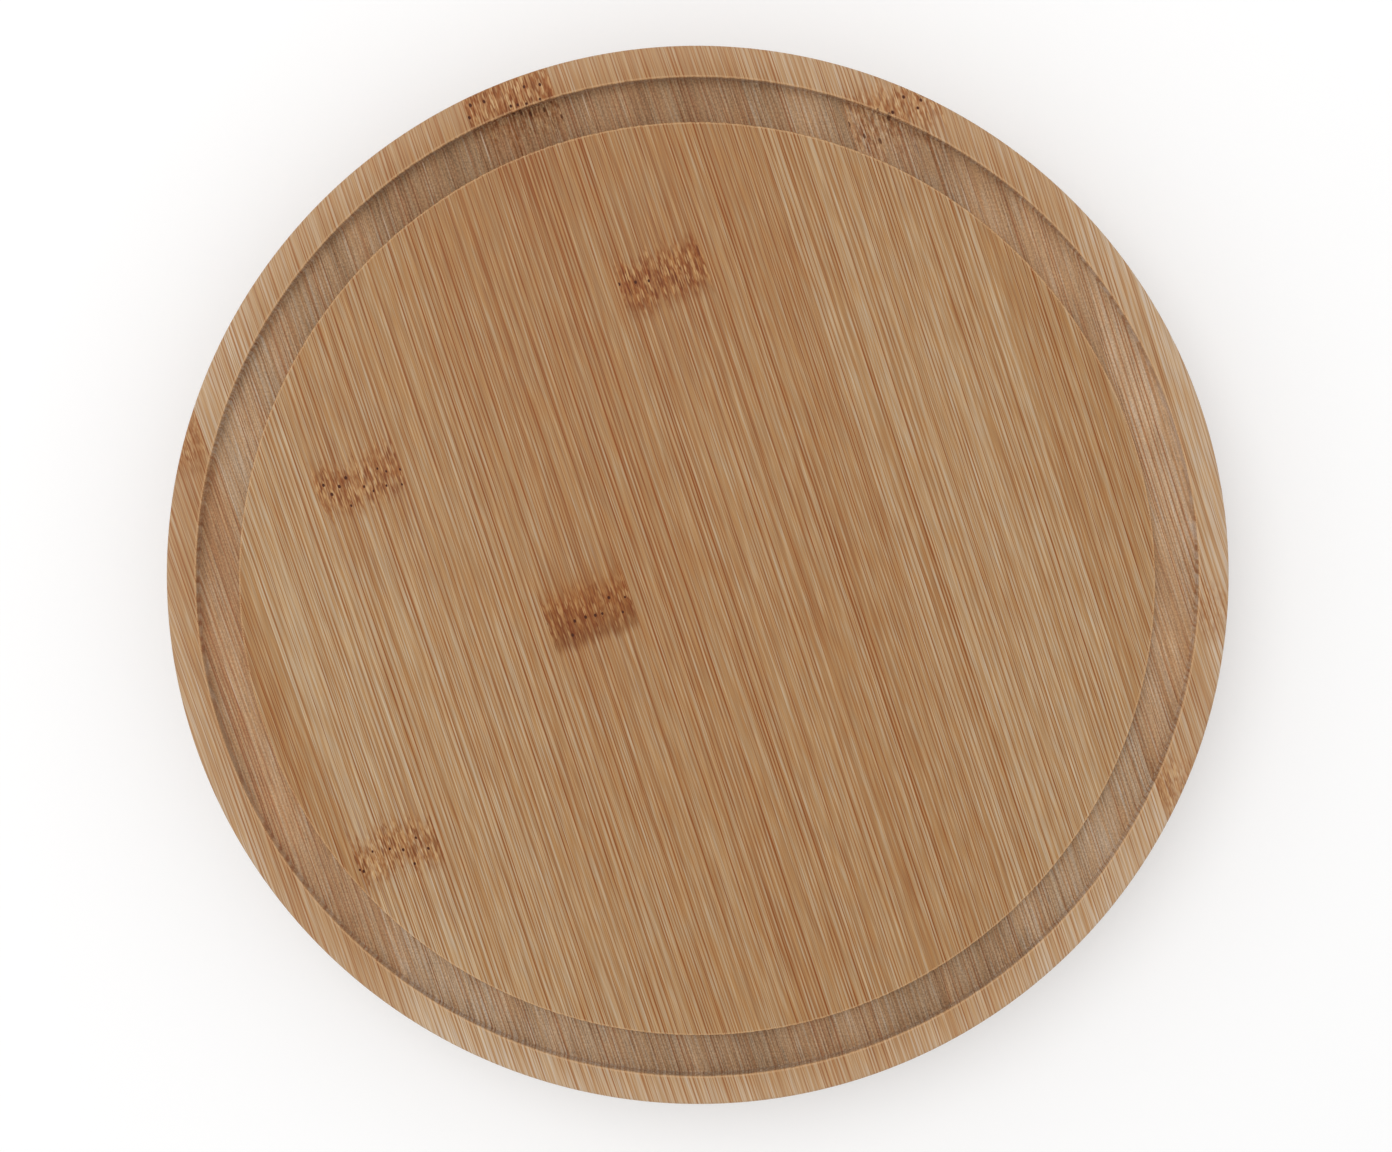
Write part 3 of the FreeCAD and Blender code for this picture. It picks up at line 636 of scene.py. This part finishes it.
def board_disc():
    """The whole board as one closed turned mesh."""
    mesh = bmesh.new()
    rings = []
    for distance, height in board_section():
        ring = []
        for step in range(BOARD_FACETS):
            turn = math.tau * step / BOARD_FACETS
            reach = (distance + frayed(distance, height, turn)) * MM
            ring.append(mesh.verts.new((reach * math.cos(turn), reach * math.sin(turn), height * MM)))
        rings.append(ring)
    for lower, upper in zip(rings, rings[1:]):
        for step in range(BOARD_FACETS):
            following = (step + 1) % BOARD_FACETS
            mesh.faces.new((lower[step], lower[following], upper[following], upper[step]))
    mesh.faces.new(list(reversed(rings[0])))
    mesh.faces.new(rings[-1])
    return mesh


def cut_side(mesh, distance, side):
    """Remove what lies beyond a plane along the grain, and close the cut."""
    everything = mesh.verts[:] + mesh.edges[:] + mesh.faces[:]
    cut = bmesh.ops.bisect_plane(
        mesh, geom=everything, dist=1e-8, clear_outer=True,
        plane_co=ACROSS * distance * MM, plane_no=ACROSS * side,
    )
    edges = [item for item in cut["geom_cut"] if isinstance(item, bmesh.types.BMEdge)]
    bmesh.ops.holes_fill(mesh, edges=edges, sides=0)


def smooth_up_to_corners(data):
    """Smooth shading that stops at sharp corners."""
    data.polygons.foreach_set("use_smooth", [True] * len(data.polygons))
    data.set_sharp_from_angle(angle=math.radians(SHARP_EDGE_DEG))


def placed(mesh, name):
    """A bmesh as a new object in the scene; the bmesh is used up."""
    data = bpy.data.meshes.new(name)
    mesh.to_mesh(data)
    mesh.free()
    thing = bpy.data.objects.new(name, data)
    bpy.context.scene.collection.objects.link(thing)
    return thing


def finished(mesh, name, material):
    """A piece from a bmesh, smooth shaded up to sharp corners."""
    bmesh.ops.triangulate(mesh, faces=[face for face in mesh.faces if len(face.verts) > 4])
    bmesh.ops.recalc_face_normals(mesh, faces=mesh.faces[:])
    piece = placed(mesh, name)
    smooth_up_to_corners(piece.data)
    piece.data.materials.append(material)
    return piece


def bore_pilots(pieces):
    """Bore the blind holes for the inner ring's screws in the strips that hold them."""
    for quarter in range(4):
        turn = math.tau * quarter / 4
        place = Vector((math.cos(turn), math.sin(turn), 0.0)) * PILOT_CIRCLE
        mesh = bmesh.new()
        bmesh.ops.create_cone(
            mesh, cap_ends=True, segments=PILOT_FACETS, depth=2 * PILOT_DEPTH * MM,
            radius1=PILOT_RADIUS * MM, radius2=PILOT_RADIUS * MM,
        )
        bmesh.ops.translate(mesh, verts=mesh.verts[:], vec=(place.x * MM, place.y * MM, BOARD_BOTTOM * MM))
        drill = placed(mesh, "pilot_drill")
        piece = pieces[int((place.dot(ACROSS) - FIRST_SEAM) // STRIP_WIDTH) + 1]
        boolean = piece.modifiers.new("pilot", "BOOLEAN")
        boolean.object = drill
        boolean.solver = "EXACT"
        bpy.context.view_layer.update()
        bored = bpy.data.meshes.new_from_object(piece.evaluated_get(bpy.context.evaluated_depsgraph_get()))
        piece.modifiers.clear()
        smooth_up_to_corners(bored)
        piece.data = bored
        bpy.data.objects.remove(drill)


def make_board():
    """The board as its glued bamboo strips."""
    disc = board_disc()
    seams = [FIRST_SEAM + STRIP_WIDTH * index for index in range(len(STRIPS) - 1)]
    pieces = []
    for index, strip in enumerate(STRIPS):
        mesh = disc.copy()
        if index > 0:
            cut_side(mesh, seams[index - 1], -1)
        if index < len(seams):
            cut_side(mesh, seams[index], 1)
        number = f"{index + 1:02d}"
        material = bamboo(f"bamboo_{number}", index + 1.0, strip, BOARD_BOTTOM, BOARD_TOP, True)
        pieces.append(finished(mesh, f"board_strip_{number}", material))
    disc.free()
    bore_pilots(pieces)
    for piece in pieces:
        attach(piece, "turntable")
        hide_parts("turntable_top")


# ---------------------------------------------------------------- CAD nodes that stay

def dress(name, material):
    """Give a CAD node its material."""
    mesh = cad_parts[name].data
    mesh.materials.clear()
    mesh.materials.append(material)


def dress_frame():
    """Materials for the plate, the bearing, the feet and the fasteners."""
    dress("base_plate", bamboo("bamboo_plate", 31.0, {"tone": -0.03}, PLATE_BOTTOM, PLATE_TOP))
    aluminium = turned_metal("turned_aluminium", (198, 200, 202), 0.36)
    dress("bearing_outer_ring", aluminium)
    dress("bearing_inner_ring", aluminium)
    dress("bearing_balls", plated_metal("ground_steel", (190, 192, 196), (176, 178, 184), 0.14, 0.3))
    dress("ball_cage", moulded("nylon_cage", (224, 221, 208), (210, 206, 190), 0.62, 0.25))
    dress("ball_filler_plug", moulded("nylon_plug", (48, 48, 50), (38, 38, 40), 0.6, 0.25))
    zinc = plated_metal("zinc_plate", (186, 187, 186), (172, 176, 182), 0.34, 0.2)
    rubber = moulded("foot_rubber", (44, 44, 45), (32, 32, 33), 0.85, 0.3)
    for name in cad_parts:
        if name.startswith(("foot_screw", "foot_washer", "outer_ring_screw", "inner_ring_screw")):
            dress(name, zinc)
        elif name.startswith("foot_"):
            dress(name, rubber)


# ---------------------------------------------------------------- floor, light and camera

FLOOR_RADIUS_M = 8.0
CAMERA_TILT_DEG = (-4.57, 0.87)
CAMERA_DISTANCE_M = 0.3716
CAMERA_AIM = Vector((0.00024, 0.00312, BOARD_TOP * MM))
CAMERA_LENS_MM = 40.93
SURROUND_STRENGTH = 0.80
LAMP_SIZE_M = 1.3
LAMP_WATTS = 8.0
LAMP_PLACE_M = Vector((-0.35, 0.45, 1.5))


def make_floor():
    """A plain pale floor."""
    mesh = bmesh.new()
    bmesh.ops.create_circle(mesh, cap_ends=True, segments=FLOOR_FACETS, radius=FLOOR_RADIUS_M)
    floor = placed(mesh, "floor")
    graph = Graph("floor")
    graph.set("Base Color", (0.97, 0.97, 0.97, 1.0))
    graph.set("Roughness", 0.9)
    graph.set("Specular IOR Level", 0.0)
    floor.data.materials.append(graph.material)


def make_light():
    """An even white surround and one large soft lamp overhead."""
    scene = bpy.context.scene
    world = bpy.data.worlds.new("studio")
    world.use_nodes = True
    background = world.node_tree.nodes["Background"]
    background.inputs["Color"].default_value = (1.0, 1.0, 1.0, 1.0)
    background.inputs["Strength"].default_value = SURROUND_STRENGTH
    scene.world = world
    lamp = bpy.data.lights.new("overhead", "AREA")
    lamp.shape = "DISK"
    lamp.size = LAMP_SIZE_M
    lamp.energy = LAMP_WATTS
    light = bpy.data.objects.new("overhead", lamp)
    light.location = LAMP_PLACE_M
    light.rotation_euler = (-LAMP_PLACE_M).to_track_quat("-Z", "Y").to_euler()
    scene.collection.objects.link(light)


def make_camera():
    """The camera looks almost straight down, from a little beyond the board's far side."""
    lens = bpy.data.cameras.new("camera")
    lens.lens = CAMERA_LENS_MM
    lens.clip_start = 0.01
    camera = bpy.data.objects.new("camera", lens)
    camera.rotation_euler = (math.radians(CAMERA_TILT_DEG[0]), math.radians(CAMERA_TILT_DEG[1]), 0.0)
    backward = camera.rotation_euler.to_matrix() @ Vector((0.0, 0.0, 1.0))
    camera.location = CAMERA_AIM + CAMERA_DISTANCE_M * backward
    bpy.context.scene.collection.objects.link(camera)
    bpy.context.scene.camera = camera


make_camera()
make_board()
dress_frame()
make_floor()
make_light()
bpy.context.scene.view_settings.view_transform = "Standard"
